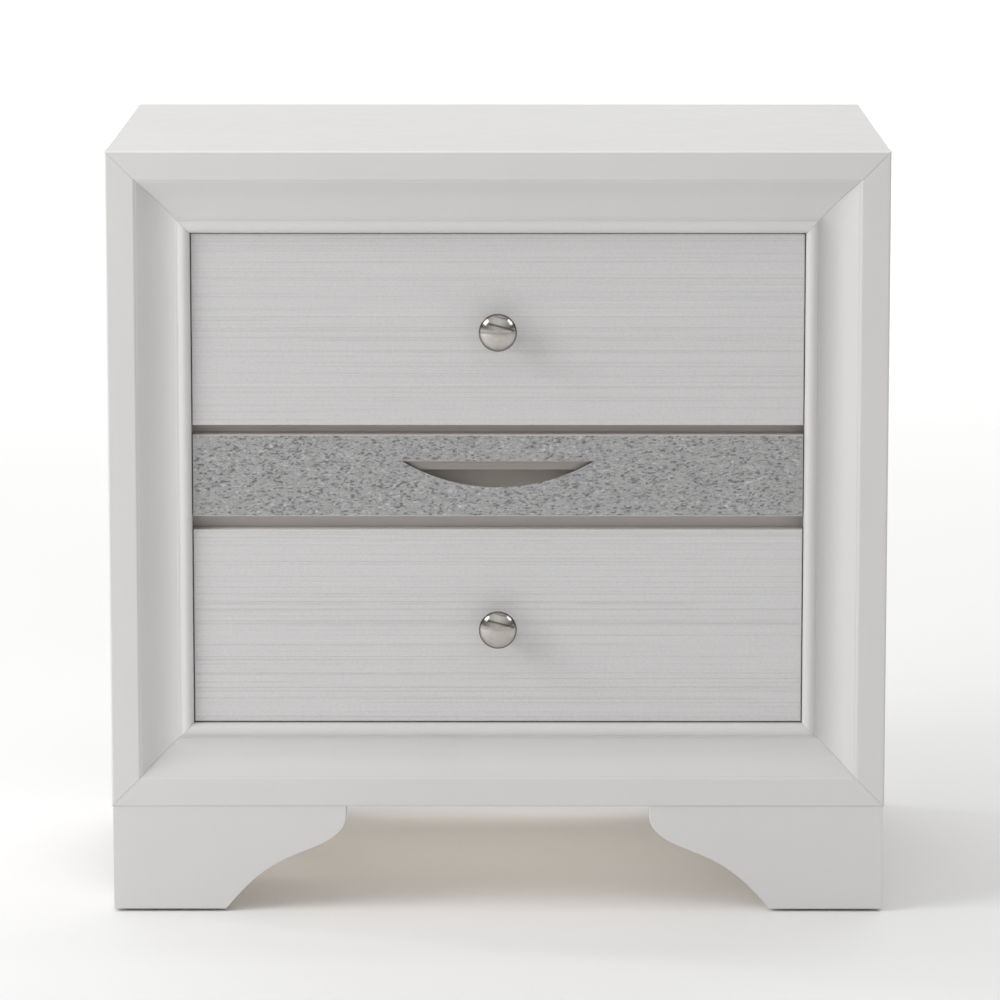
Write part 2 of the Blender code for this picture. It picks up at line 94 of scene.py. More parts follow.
# Feet: the ogee's points, measured from the board's inner end and its foot
FOOT_BOARD = 0.020
FOOT_LAP = 0.0002
OGEE_LIP = (0, 0.0755)
OGEE_BULGE = ((0, 0.062), (-0.0145, 0.054))
OGEE_BEND = (-0.0325, 0.0472)
OGEE_HOLLOW = ((-0.0545, 0.0385), (-0.0715, 0.030))
OGEE_TOE = (-0.0955, 0)

# Drawer fronts
FRONT_EASE = 0.0010
FRONT_SPARE = (0.0005, 0.0, 0.0003)
CALM_EDGE = 0.0015    # The relief fades out this close to a board's edge
FRONT_SHARP = 50
COMB_SEEDS = {"top": 11, "bottom": 27}
COMB_STEP_X = 0.0050
COMB_STEP_Z = 0.00022
COMB_DEPTH = 0.00007
FOIL_SEED = 61
FOIL_STEP_X = 0.00075
FOIL_STEP_Z = 0.00050
FOIL_DEPTH = 0.00030

# The combed lines. The cuts are in millimetres, and a negative side is a ridge
LINE_SPACINGS = ((0.0010, 0.0022), (0.0022, 0.0046))
LINE_HALF_LENGTHS = (0.05, 0.36)
LINE_CUTS = (0.02, 0.08)
LINE_SIDES = (1, 1, 1, -0.45)
LINE_WIDTHS = (0.00017, 0.00030)
LINE_DRIFT = 0.0003
LINE_FADE = 0.008

# The foil's dents, in the same way, with one for each few square millimetres
DENT_AREA = 4.0
DENT_HALF_LENGTHS = (0.0005, 0.0017)
DENT_HALF_WIDTHS = (0.00030, 0.00055)
DENT_TILT = (0.10, 0.34)
DENT_CUTS = (0.06, 0.30)
DENT_SIDES = (1, 1, 0.6, -0.7)

# Crescent pull: its walls are curves of (distance behind the face, share of the wall's height)
PULL_HALF_WIDTH = 0.075
PULL_SAGITTA = 0.0207
PULL_TOP = 0.0434
LIP_DROP = 0.0070
LIP_SHARE = 0.95
LIP_CURVE = ((0.0009, 0.06), (0.0014, 0.14), (0.0022, 0.38), (0.0030, 0.68), (0.0036, 1.0))
SILL_CURVE = ((0.0012, 0.0), (0.0030, 0.10), (0.0075, 0.55))
UNDERCUT = 0.006
PAINT_START = 0.0008
PAINT_SPARE = 0.0002
BOWL_DEPTH = 0.0068
BOWL_SPARE = 0.0004
BOWL_SQUARENESS = 2.5

# Knobs
KNOB_RADIUS = 0.0149
KNOB_LENGTH = 0.025
KNOB_DOME = 0.0062
KNOB_EDGE = 0.0010
KNOB_SHARP = 45
KNOB_STEPS = 96
NECK_CENTRE = (KNOB_RADIUS - 0.0018, 0.0065)
NECK_RADII = (0.0083, 0.0098)
KNOB_FOOT = (
    (0.0048, 0.0052),
    (0.0050, 0.0040),
    (0.0056, 0.0030),
    (0.0062, 0.0022),
    (0.0064, 0.0014),
    (0.0064, 0.0004),
    (0.0061, 0.00005),
)
SCREW_HOLE = (0.0022, 0.010)
RIM_SHADE = 0.0015

# Colours
LACQUER_TONES = ((0.668, 0.656, 0.650), (0.690, 0.679, 0.673))
# The divider rails' tones, tinted warm as painted bounce light
WARM_BOUNCE_TONES = ((0.690, 0.642, 0.610), (0.712, 0.664, 0.632))
# The painted highlight along the top rail's rounded front edge
PAINTED_HIGHLIGHT_COLOUR = (0.80, 0.79, 0.78)
RECESS_COLOUR = (0.60, 0.56, 0.51)
# The pull's walls: their paint darkened as painted shade
PAINTED_LIP_SHADE = (0.30, 0.275, 0.25)
LAMINATE_EDGE = (0.66, 0.64, 0.63)
FOIL_EDGE = (0.53, 0.497, 0.483)
PAINT_ROUGHNESS = 0.42
FOIL_TILT = 0.75
FOIL_METAL = 0.75
# The painted shade in a line round each knob's rim
PAINTED_RIM_SHADE = (0.17, 0.155, 0.14)

# The studio's tent: an even base, and how bright it is towards each of a few directions
SKY_BASE = 0.05
DIAGONAL = math.sqrt(0.5)
SKY = {
    (0, 1, 0): 0.36,
    (0, -1, 0): 0.22,
    (0, 0, 1): 0.45,
    (0, -DIAGONAL, DIAGONAL): 0.48,
}
HORIZON = 0.95
HORIZON_BAND = (0.04, 0.24)
FRONT_DIMMING = 0.75

# The tent's seams are rings round one direction: (cosine to it, half width, light left)
SEAM_AXIS = (0.244, 0.289, 0.925)
TENT_SEAMS = ((0.22, 0.105, 0.10), (0.84, 0.06, 0.40))
SEAM_CORE = 0.4
SEAM_FADE = (-0.05, 0.35)

# The studio's floor and lamps: (name, place, target, size, watts)
FLOOR_REACH = 10.8
CASE_MIDDLE = (0, 0, 0.3)
LAMPS = (
    ("front_left", (-2.6, -1.5, 1.7), CASE_MIDDLE, (1.6, 1.8), 46),
    ("softbox_left", (-2.0, -0.45, 1.95), CASE_MIDDLE, (1.2, 0.9), 10),
    ("softbox_right", (2.0, -0.45, 1.95), CASE_MIDDLE, (0.7, 0.9), 6),
    ("overhead_strip", (0, 0.3, 2.6), (0, -0.2, 0.6), (1.4, 0.16), 3),
    ("backdrop_light", (0, 6.5, 6.0), (0, 9.5, 0), (16, 8), 820),
    ("under_case", (0, 0.0, 0.130), (0, 0.0, 0), (0.46, 0.30), 0.16),
)
MATT_LAMPS = ("front_left",)    # Lamps that show in no reflection
KEY_TURN = math.radians(69)
KEY_HEIGHT = math.radians(27)
KEY_SPREAD = math.radians(7)
KEY_POWER = 0.36

# The camera
LENS = 195.9
SENSOR = 36
CAMERA_FAR = 100
CAMERA_PLACE = (0.0093, FRONT_Y - 4.2, 1.019)
CAMERA_TILT = math.radians(90 - 9.31)
CAMERA_TURN = math.radians(0.104)


# Small mesh tools


def finish_piece(piece, body, stands_for):
    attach(piece, body)
    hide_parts(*stands_for)
    return piece


def object_from_bmesh(name, bm):
    bmesh.ops.recalc_face_normals(bm, faces=bm.faces[:])
    mesh = bpy.data.meshes.new(name)
    bm.to_mesh(mesh)
    bm.free()
    made = bpy.data.objects.new(name, mesh)
    bpy.context.scene.collection.objects.link(made)
    return made


def object_from_lists(name, places, faces):
    """An object whose doubled points are merged, with its faces turned outwards."""
    mesh = bpy.data.meshes.new(name)
    mesh.from_pydata([tuple(p) for p in places], [], faces)
    bm = bmesh.new()
    bm.from_mesh(mesh)
    bpy.data.meshes.remove(mesh)
    bmesh.ops.remove_doubles(bm, verts=bm.verts, dist=1e-6)
    return object_from_bmesh(name, bm)


def shade(piece, angle=PANEL_SHARP, weighted=True):
    """Smooth shading that stays sharp at edges past an angle, in degrees."""
    piece.data.shade_smooth()
    piece.data.set_sharp_from_angle(angle=math.radians(angle))
    if weighted:
        normals = piece.modifiers.new("flat_faces_stay_flat", "WEIGHTED_NORMAL")
        normals.keep_sharp = True
        normals.weight = 100
    return piece


def round_edges(bm, keep_sharp, radius, segments=3):
    """Rounds the outward edges, apart from those that keep_sharp picks by their middle."""
    chosen = []
    for edge in bm.edges:
        middle = (edge.verts[0].co + edge.verts[1].co) / 2
        angle = edge.calc_face_angle_signed(0.0)
        if EDGE_ANGLES[0] < angle < EDGE_ANGLES[1] and not keep_sharp(middle):
            chosen.append(edge)
    bmesh.ops.bevel(bm, geom=chosen, offset=radius, segments=segments, affect="EDGES", profile=0.5)


def box_mesh(low, high):
    bm = bmesh.new()
    bmesh.ops.create_cube(bm, size=1.0)
    bmesh.ops.scale(bm, vec=Vector(high) - Vector(low), verts=bm.verts)
    bmesh.ops.translate(bm, vec=(Vector(high) + Vector(low)) / 2, verts=bm.verts)
    return bm


def prism_mesh(outline, axis, start, stop):
    slot = "XYZ".index(axis)
    bm = bmesh.new()
    corners = []
    for point in outline:
        place = list(point)
        place.insert(slot, start)
        corners.append(bm.verts.new(place))
    face = bm.faces.new(corners)
    swept = bmesh.ops.extrude_face_region(bm, geom=[face])
    moved = [item for item in swept["geom"] if isinstance(item, bmesh.types.BMVert)]
    sweep = Vector((0, 0, 0))
    sweep[slot] = stop - start
    bmesh.ops.translate(bm, vec=sweep, verts=moved)
    bmesh.ops.recalc_face_normals(bm, faces=bm.faces[:])
    return bm


def cut_off(bm, point, normal):
    geometry = bm.verts[:] + bm.edges[:] + bm.faces[:]
    bmesh.ops.bisect_plane(bm, geom=geometry, plane_co=point, plane_no=normal, clear_outer=True)
    rim = [edge for edge in bm.edges if edge.is_boundary]
    bmesh.ops.holes_fill(bm, edges=rim)


def arc_points(centre, radii, steps, start, stop):
    points = []
    for step in range(steps + 1):
        angle = math.radians(start + (stop - start) * step / steps)
        across = centre[0] + radii[0] * math.cos(angle)
        along = centre[1] + radii[1] * math.sin(angle)
        points.append((across, along))
    return points


def bezier_points(start, first, second, stop, steps):
    points = []
    for step in range(steps):
        t = step / steps
        weights = ((1 - t) ** 3, 3 * t * (1 - t) ** 2, 3 * t**2 * (1 - t), t**3)
        corners = (start, first, second, stop)
        points.append(tuple(sum(w * c[k] for w, c in zip(weights, corners)) for k in (0, 1)))
    return points


# The moulding frame


def moulding_outline():
    corner = arc_points((CORNER_RADIUS, CORNER_RADIUS), (CORNER_RADIUS,) * 2, 6, 180, 270)
    step = [(FLAT_WIDTH + across, depth) for across, depth in STEP_CURVE]
    radius = (COVE_END - COVE_BEND) / (math.sin(COVE_SLOPE) + math.sin(COVE_RISE))
    bend_depth = STEP_DEPTH + (COVE_BEND - COVE_START) * math.tan(COVE_SLOPE)
    centre = (COVE_BEND + radius * math.sin(COVE_SLOPE), bend_depth - radius * math.cos(COVE_SLOPE))
    first = 90 + math.degrees(COVE_SLOPE)
    last = 90 - math.degrees(COVE_RISE)
    cove = [(COVE_START, STEP_DEPTH)] + arc_points(centre, (radius, radius), 30, first, last)
    size = ((MEMBER_WIDTH - BEAD_START) / 2, BEAD_HEIGHT)
    bead = arc_points(((MEMBER_WIDTH + BEAD_START) / 2, BEAD_BACK), size, 24, 190, 360)
    back = [(MEMBER_WIDTH, MEMBER_DEPTH), (0, MEMBER_DEPTH)]
    return corner + step + cove + list(FILLET) + bead + back


def build_frame_member(name, length, distance, turn):
    outline = [(FRONT_Y + v, distance - u) for u, v in moulding_outline()]
    bm = prism_mesh(outline, "X", -length / 2, length / 2)
    for side in (-1, 1):
        end = Vector((side * (length / 2 - MITRE_GAP), 0, distance))
        cut_off(bm, end, Vector((side, 0, -1)))
    middle = Matrix.Translation((0, 0, (FRAME_LOW[2] + FRAME_HIGH[2]) / 2))
    spin = Matrix.Rotation(math.radians(turn), 4, "Y")
    bmesh.ops.transform(bm, matrix=middle @ spin, verts=bm.verts)
    piece = object_from_bmesh(name + "_finish", bm)
    # The top rail's rounded front edge is marked for a painted highlight
    if name == "frame_rail_top":
        places = point_places(piece)
        in_front = places[:, 1] < FRONT_Y + CORNER_RADIUS
        on_top = places[:, 2] > FRAME_HIGH[2] - PAINTED_HIGHLIGHT_SHARE * CORNER_RADIUS
        store(piece, "painted_highlight", in_front & on_top)
    return finish_piece(shade(piece), "case", [name])


def build_frame():
    width = 2 * HALF_WIDTH
    height = FRAME_HIGH[2] - FRAME_LOW[2]
    return [
        build_frame_member("frame_rail_top", width, height / 2, 0),
        build_frame_member("frame_stile_right", height, width / 2, 90),
        build_frame_member("frame_rail_bottom", width, height / 2, 180),
        build_frame_member("frame_stile_left", height, width / 2, 270),
    ]


# Panels


def build_panels():
    """The top and sides, whose seams with the frame are filled by the lacquer."""
    front = FRONT_Y + MEMBER_DEPTH + PANEL_SEAM / 4
    made = []
    bm = box_mesh((CASE_LOW[0], front, CASE_LOW[2]), CASE_HIGH)
    round_edges(bm, lambda p: p.y < front + NEAR or p.z < CASE_LOW[2] + NEAR, TOP_ROUND)
    piece = shade(object_from_bmesh("top_panel_finish", bm))
    made.append(finish_piece(piece, "case", ["top_panel"]))
    for side, sign in (("left", -1), ("right", 1)):
        node = "side_panel_" + side
        side_low, side_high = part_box(node)
        inner = sign * (HALF_WIDTH - (side_high[0] - side_low[0]))
        rabbet = sign * (HALF_WIDTH - RABBET_EDGE)
        groove_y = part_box("back_panel")[0][1] - BACK_SPARE
        outline = [
            (sign * HALF_WIDTH, front),
            (inner, front),
            (inner, groove_y),
            (rabbet, groove_y),
            (rabbet, BACK_Y),
            (sign * HALF_WIDTH, BACK_Y),
        ]
        bm = prism_mesh(outline, "Z", side_low[2], CASE_LOW[2] - PANEL_SEAM)
        round_edges(bm, lambda p: p.y < front + NEAR or p.z > CASE_LOW[2] - NEAR, SIDE_ROUND)
        piece = shade(object_from_bmesh(node + "_finish", bm))
        made.append(finish_piece(piece, "case", [node]))
    return made


def build_dividers():
    made = []
    for name in ("divider_rail_upper", "divider_rail_lower"):
        bm = box_mesh(*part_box(name))
        round_edges(bm, lambda p: False, BOARD_ROUND)
        piece = shade(object_from_bmesh(name + "_finish", bm))
        made.append(finish_piece(piece, "case", [name]))
    return made


# Feet


def ogee_outline(reach, foot, top):
    """A bracket foot's side view, from its outer edge to the ogee at its inner end."""
    points = (OGEE_LIP, *OGEE_BULGE, OGEE_BEND, *OGEE_HOLLOW, OGEE_TOE)
    lip, *bulge_pulls, bend, hollow_pull, last_pull, toe = [(reach + u, foot + v) for u, v in points]
    bulge = bezier_points(lip, *bulge_pulls, bend, 22)
    hollow = bezier_points(bend, hollow_pull, last_pull, toe, 26)
    return [(0, foot), (0, top), (reach, top)] + bulge + hollow + [toe]


def build_foot_board(name, corner, inwards, along_depth):
    low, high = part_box(name)
    reach = (high[1] - low[1]) if along_depth else (high[0] - low[0])
    outline = ogee_outline(reach, low[2], FRAME_LOW[2] + FOOT_LAP)
    bm = prism_mesh(outline, "Y", 0, FOOT_BOARD)
    cut_off(bm, Vector((PANEL_SEAM, 0, 0)), Vector((-1, 1, 0)))
    bmesh.ops.recalc_face_normals(bm, faces=bm.faces[:])
    round_edges(bm, lambda p: p.z > high[2] - NEAR / 2, BOARD_ROUND)
    if along_depth:
        swap = Matrix(((0, 1, 0, 0), (1, 0, 0, 0), (0, 0, 1, 0), (0, 0, 0, 1)))
        bmesh.ops.transform(bm, matrix=swap, verts=bm.verts)
    place = Matrix.Translation(corner) @ Matrix.Diagonal((*inwards, 1, 1))
    bmesh.ops.transform(bm, matrix=place, verts=bm.verts)
    piece = shade(object_from_bmesh(name + "_finish", bm))
    return finish_piece(piece, "case", [name])


def build_feet():
    made = []
    for depth_name, y_sign in (("front", -1), ("rear", 1)):
        for side_name, x_sign in (("left", -1), ("right", 1)):
            base = "foot_" + depth_name + "_" + side_name
            low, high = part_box(base + "_face")
            corner = (
                high[0] if x_sign > 0 else low[0],
                high[1] if y_sign > 0 else low[1],
                0,
            )
            inwards = (-x_sign, -y_sign)
            made.append(build_foot_board(base + "_face", corner, inwards, False))
            made.append(build_foot_board(base + "_side", corner, inwards, True))
    return made


# Relief of the drawer fronts


def comb_relief(x, z, low, high, seed):
    """Depth of the combed lines at a grid of points: long thin grooves and a few ridges."""
    rng = np.random.default_rng(seed)
    depth = np.zeros((len(z), len(x)))
    level = low[2] + NEAR
    while level < high[2] - NEAR:
        level += rng.choice([rng.uniform(*spacing) for spacing in LINE_SPACINGS])
        for _ in range(rng.integers(1, 3)):
            middle = rng.uniform(low[0], high[0])
            reach = rng.uniform(*LINE_HALF_LENGTHS)
            cut = rng.uniform(*LINE_CUTS) * MM * rng.choice(LINE_SIDES)
            width = rng.uniform(*LINE_WIDTHS)
            drift = rng.uniform(-LINE_DRIFT, LINE_DRIFT)
            line = level + drift * (x - middle) / 0.2
            fade = 1 / (1 + np.exp((np.abs(x - middle) - reach) / LINE_FADE))
            wobble = 1 + 0.35 * np.sin(x * rng.uniform(60, 240) + rng.uniform(0, 6))
            rows = np.abs(z - level) < 4 * MM
            gap = z[rows, None] - line[None, :]
            depth[rows] += cut * np.exp(-(gap**2) / (2 * width**2)) * (fade * wobble)[None, :]
    return depth


def foil_relief(x, z, low, high, seed):
    """Dents of the crushed foil: short dashes, mostly level, with soft lumps between."""
    rng = np.random.default_rng(seed)
    depth = np.zeros((len(z), len(x)))
    area = (high[0] - low[0]) * (high[2] - low[2]) * 1e6
    for _ in range(int(area / DENT_AREA)):
        centre_x = rng.uniform(low[0], high[0])
        centre_z = rng.uniform(low[2], high[2])
        half_length = rng.uniform(*DENT_HALF_LENGTHS)
        half_width = rng.uniform(*DENT_HALF_WIDTHS)
        tilt = rng.normal(*DENT_TILT)
        cut = rng.uniform(*DENT_CUTS) * MM * rng.choice(DENT_SIDES)
        reach = 3 * half_length
        cols = np.abs(x - centre_x) < reach
        rows = np.abs(z - centre_z) < reach
        across = x[cols][None, :] - centre_x
        up = z[rows][:, None] - centre_z
        along = across * math.cos(tilt) + up * math.sin(tilt)
        aside = up * math.cos(tilt) - across * math.sin(tilt)
        dent = np.exp(-((along / half_length) ** 2) - (aside / half_width) ** 2)
        depth[np.ix_(rows, cols)] += cut * dent
    return depth


def eased(distance):
    """How far an eased edge falls back at a distance from the board's side."""
    inside = np.clip(FRONT_EASE - distance, 0, FRONT_EASE)
    return FRONT_EASE - np.sqrt(np.maximum(FRONT_EASE**2 - inside**2, 0))


def edge_lines(low, high, step):
    """Grid lines from low to high, closer together at the eased edges."""
    rounding = FRONT_EASE * (1 - np.cos(np.linspace(0, math.pi / 2, 6)))
    count = max(2, int(round((high - low - 2 * FRONT_EASE) / step)))
    middle = np.linspace(low + FRONT_EASE, high - FRONT_EASE, count + 1)[1:-1]
    return np.concatenate((low + rounding, middle, high - rounding[::-1]))


def add_grid_faces(faces, numbers):
    """Quads between the rows and columns of an array of point numbers."""
    for near, far in zip(numbers.tolist(), numbers[1:].tolist()):
        for col in range(len(near) - 1):
            faces.append((near[col], near[col + 1], far[col + 1], far[col]))


def close_board(places, faces, numbers, low, high):
    """Adds four walls and a flat back behind a grid of points that is a board's front."""
    back = [len(places) + k for k in range(4)]
    places += [(low[0], high[1], low[2]), (high[0], high[1], low[2])]
    places += [(high[0], high[1], high[2]), (low[0], high[1], high[2])]
    rims = (numbers[0, :], numbers[:, -1], numbers[-1, ::-1], numbers[::-1, 0])
    for k, rim in enumerate(rims):
        faces.append(rim.tolist() + [back[(k + 1) % 4], back[k]])
    faces.append(back)


def store(piece, name, values):
    """Keeps a number at each of the piece's points, which its material reads."""
    layer = piece.data.attributes.new(name, "FLOAT", "POINT")
    layer.data.foreach_set("value", np.asarray(values, dtype=np.float32))


def point_places(piece):
    places = np.empty(len(piece.data.vertices) * 3, np.float32)
    piece.data.vertices.foreach_get("co", places)
    return places.reshape(-1, 3)


def edge_paint(piece, low, high):
    """How far inside the board's outline each front point lies, as a share of the painted edge."""
    places = point_places(piece)
    side = np.minimum(places[:, 0] - low[0], high[0] - places[:, 0])
    end = np.minimum(places[:, 2] - low[2], high[2] - places[:, 2])
    inside = np.minimum(side, end) / FRONT_EASE
    return np.where(places[:, 1] < low[1] + FRONT_EASE * 1.1, np.clip(inside, 0, 2), 0)


def relief_at_points(piece, x, z, depth, front_y, full_depth):
    """The relief at each of the piece's front points, as a share of a full depth."""
    places = point_places(piece)
    across = np.clip(np.searchsorted(x, places[:, 0]), 0, len(x) - 1)
    up = np.clip(np.searchsorted(z, places[:, 2]), 0, len(z) - 1)
    values = depth[up, across] / full_depth
    return np.where(places[:, 1] < front_y + 2 * NEAR, values, 0)


def front_box(node):
    """A front's corners, let out a little to narrow the gap round it."""
    low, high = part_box(node)
    spare = Vector(FRONT_SPARE)
    return Vector(low) - spare, Vector(high) + spare


def calmed(side, end):
    """The relief's share at these distances from a board's sides and ends."""
    return np.clip(np.minimum(side, end) / CALM_EDGE, 0, 1)


def build_combed_front(drawer, seed):
    node = "drawer_" + drawer + "_front"
    low, high = front_box(node)
    x = edge_lines(low[0], high[0], COMB_STEP_X)
    z = edge_lines(low[2], high[2], COMB_STEP_Z)
    depth = comb_relief(x, z, low, high, seed)
    depth -= min(0, depth.min())
    side = np.minimum(x - low[0], high[0] - x)
    end = np.minimum(z - low[2], high[2] - z)
    falls = np.maximum(eased(side)[None, :], eased(end)[:, None])
    y = low[1] + depth * calmed(side[None, :], end[:, None]) + falls
    grid_x, grid_z = np.meshgrid(x, z)
    places = np.stack((grid_x, y, grid_z), axis=-1).reshape(-1, 3).tolist()
    numbers = np.arange(len(places)).reshape(len(z), len(x))
    faces = []
    add_grid_faces(faces, numbers)
    close_board(places, faces, numbers, low, high)
    piece = object_from_lists(node + "_finish", places, faces)
    store(piece, "relief", relief_at_points(piece, x, z, depth, low[1], COMB_DEPTH))
    store(piece, "inside", edge_paint(piece, low, high))
    shade(piece, FRONT_SHARP, weighted=False)
    return finish_piece(piece, "drawer_" + drawer, [node])


def pull_depth(x):
    """How far the crescent's arc hangs below its straight upper edge at each x."""
    radius = (PULL_HALF_WIDTH**2 + PULL_SAGITTA**2) / (2 * PULL_SAGITTA)
    inside = np.minimum(np.abs(x), PULL_HALF_WIDTH)
    return np.maximum(np.sqrt(radius**2 - inside**2) - (radius - PULL_SAGITTA), 0)


def row(x, y, z):
    """One row of points along x, at a depth and a height that may change along it."""
    return np.stack((x, np.broadcast_to(y, x.shape), np.broadcast_to(z, x.shape)), -1)


def lines_between(lines, bottom, top):
    """The shares of the way from bottom to top at which lines lie, with both ends."""
    inside = lines[(lines >= bottom - 1e-9) & (lines <= top + 1e-9)]
    return np.unique(np.concatenate(((0,), (inside - bottom) / (top - bottom), (1,))))


def build_foil_front():
    """The jewel drawer's front: two grids that meet beside the crescent and part round it."""
    node = "drawer_jewel_front"
    low, high = front_box(node)
    front_y, back_y = low[1], high[1]
    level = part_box(node)[0][2] + PULL_TOP
    x = edge_lines(low[0], high[0], FOIL_STEP_X)
    ends = np.array((-PULL_HALF_WIDTH, PULL_HALF_WIDTH))
    clear = np.abs(np.abs(x) - PULL_HALF_WIDTH) > 0.4 * FOIL_STEP_X
    x = np.unique(np.concatenate((x[clear], ends)))
    z = edge_lines(low[2], high[2], FOIL_STEP_Z)
    depth = foil_relief(x, z, low, high, FOIL_SEED)
    depth -= min(0, depth.min())
    hang = pull_depth(x)
    side = np.minimum(x - low[0], high[0] - x)

    def sheet(shares, bottom, top):
        """Points between two height lines, with the relief looked up at each."""
        heights = bottom[None, :] + (top - bottom)[None, :] * shares[:, None]
        y = np.empty_like(heights)
        for col in range(len(x)):
            y[:, col] = np.interp(heights[:, col], z, depth[:, col])
        end = np.minimum(heights - low[2], high[2] - heights)
        falls = np.maximum(eased(side)[None, :], eased(end))
        y = front_y + y * calmed(side[None, :], end) + falls
        return np.stack((np.broadcast_to(x, heights.shape), y, heights), -1)

    straight = np.full(len(x), level)
    lower = sheet(lines_between(z, low[2], level), np.full(len(x), low[2]), level - hang)
    upper = sheet(lines_between(z, level, high[2]), straight, np.full(len(x), high[2]))
    places, faces = [], []

    def add_rows(rows):
        start = len(places)
        count = rows.shape[0] * rows.shape[1]
        places.extend(rows.reshape(-1, 3).tolist())
        return np.arange(start, start + count).reshape(rows.shape[:2])

    lower_numbers = add_rows(lower)
    upper_numbers = add_rows(upper)
    add_grid_faces(faces, lower_numbers)
    add_grid_faces(faces, upper_numbers)

    # The crescent's walls: a sloping upper lip, and a lower edge undercut behind the foil
    drop = np.minimum(LIP_DROP, LIP_SHARE * hang)
    under = UNDERCUT * np.sqrt(hang / PULL_SAGITTA)
    lip = [upper[0]]
    for y, share in LIP_CURVE:
        lip.append(row(x, front_y + y, level - drop * share))
    lip.append(row(x, back_y, level - drop))
    sill = [lower[-1]]
    for y, share in SILL_CURVE:
        sill.append(row(x, front_y + y, level - hang - under * share))
    sill.append(row(x, back_y, level - hang - under))
    hole = np.flatnonzero(np.abs(x) <= PULL_HALF_WIDTH + 1e-9)
    lip_numbers = add_rows(np.stack(lip))
    sill_numbers = add_rows(np.stack(sill))
    add_grid_faces(faces, lip_numbers[:, hole])
    add_grid_faces(faces, sill_numbers[:, hole])

    # The back face in two bands, then the outer walls
    back_floor = add_rows(row(x, back_y, low[2])[None])[0]
    back_ceiling = add_rows(row(x, back_y, high[2])[None])[0]
    add_grid_faces(faces, np.stack((back_floor, sill_numbers[-1])))
    add_grid_faces(faces, np.stack((lip_numbers[-1], back_ceiling)))
    add_grid_faces(faces, np.stack((lower_numbers[0], back_floor)))
    add_grid_faces(faces, np.stack((upper_numbers[-1], back_ceiling)))
    for col in (0, -1):
        rim = [int(n) for n in (*lower_numbers[:, col], *upper_numbers[1:, col])]
        backs = [int(n) for n in (back_ceiling[col], lip_numbers[-1, col], back_floor[col])]
        faces.append(rim + backs)

    piece = object_from_lists(node + "_finish", places, faces)
    store(piece, "relief", relief_at_points(piece, x, z, depth, front_y, FOIL_DEPTH))
    inside = edge_paint(piece, low, high)
    # The pull's walls are marked for the dark painted shade
    for number, vert in enumerate(piece.data.vertices):
        in_height = level - PULL_SAGITTA - 2 * UNDERCUT < vert.co.z < level + PAINT_SPARE
        in_width = abs(vert.co.x) < PULL_HALF_WIDTH + PAINT_SPARE
        if in_height and in_width and vert.co.y > front_y + PAINT_START:
            inside[number] = -1
    store(piece, "inside", inside)
    shade(piece, FRONT_SHARP, weighted=False)
    return finish_piece(piece, "drawer_jewel", [node])


def build_jewel_box_front():
    """The box front behind the crescent, with a smooth painted bowl for the fingertips."""
    node = "drawer_jewel_box_front"
    low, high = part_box(node)
    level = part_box("drawer_jewel_front")[0][2] + PULL_TOP
    beyond = np.linspace(PULL_HALF_WIDTH, high[0], 6)
    across = np.linspace(-PULL_HALF_WIDTH, PULL_HALF_WIDTH, 121)
    x = np.concatenate((-beyond[::-1], across[1:-1], beyond))
    hang = pull_depth(x)
    room = np.sqrt(hang / PULL_SAGITTA)
    top = level - np.minimum(LIP_DROP, LIP_SHARE * hang) + BOWL_SPARE
    bottom = level - hang - UNDERCUT * room - BOWL_SPARE
    rows = [row(x, low[1], low[2])]
    for share in np.linspace(0, 1, 41):
        sunk = math.sqrt(max(1 - abs(2 * share - 1) ** BOWL_SQUARENESS, 0))
        rows.append(row(x, low[1] + BOWL_DEPTH * sunk * room, bottom + (top - bottom) * share))
    rows = np.stack(rows + [row(x, low[1], high[2])])
    places = rows.reshape(-1, 3).tolist()
    numbers = np.arange(len(places)).reshape(rows.shape[:2])
    faces = []
    add_grid_faces(faces, numbers)
    close_board(places, faces, numbers, low, high)
    piece = object_from_lists(node + "_finish", places, faces)
    for face in piece.data.polygons:
        middle = face.center
        behind_hole = abs(middle.x) < PULL_HALF_WIDTH and low[1] + 1e-5 < middle.y < high[1] - NEAR
        face.material_index = int(behind_hole and len(face.vertices) < 5)
    shade(piece, FRONT_SHARP, weighted=False)
    return finish_piece(piece, "drawer_jewel", [node])


# Knobs


def lathe(name, profile, segments):
    """A closed profile of (radius, distance) turned round +Z. It starts and ends on the axis."""
    places, faces, rings = [], [], []
    for radius, height in profile:
        if radius < 1e-7:
            rings.append([len(places)] * segments)
            places.append((0, 0, height))
            continue
        start = len(places)
        rings.append(list(range(start, start + segments)))
        for step in range(segments):
            angle = 2 * math.pi * step / segments
            places.append((radius * math.cos(angle), radius * math.sin(angle), height))
    for first, second in zip(rings, rings[1:]):
        for step in range(segments):
            after = (step + 1) % segments
            quad = [first[step], first[after], second[after], second[step]]
            faces.append(list(dict.fromkeys(quad)))
    return object_from_lists(name, places, faces)


def knob_profile():
    """A mushroom knob: a shallow cap with a thin rolled rim, a hollow neck and a small foot."""
    width = KNOB_RADIUS - KNOB_EDGE
    radius = (width**2 + KNOB_DOME**2) / (2 * KNOB_DOME)
    rim = KNOB_LENGTH - KNOB_DOME
    last = math.degrees(math.acos(width / radius))
    dome = arc_points((0, KNOB_LENGTH - radius), (radius, radius), 24, 90, last)
    edge = arc_points((width, rim - 1.1 * KNOB_EDGE), (KNOB_EDGE, KNOB_EDGE), 12, 75, -85)
    under = arc_points(NECK_CENTRE, NECK_RADII, 18, 98, 176)
    hole_radius, hole_depth = SCREW_HOLE
    hole = [(hole_radius, 0), (hole_radius, hole_depth), (0, hole_depth)]
    return [(0, KNOB_LENGTH)] + dome[1:] + edge + under + list(KNOB_FOOT) + hole


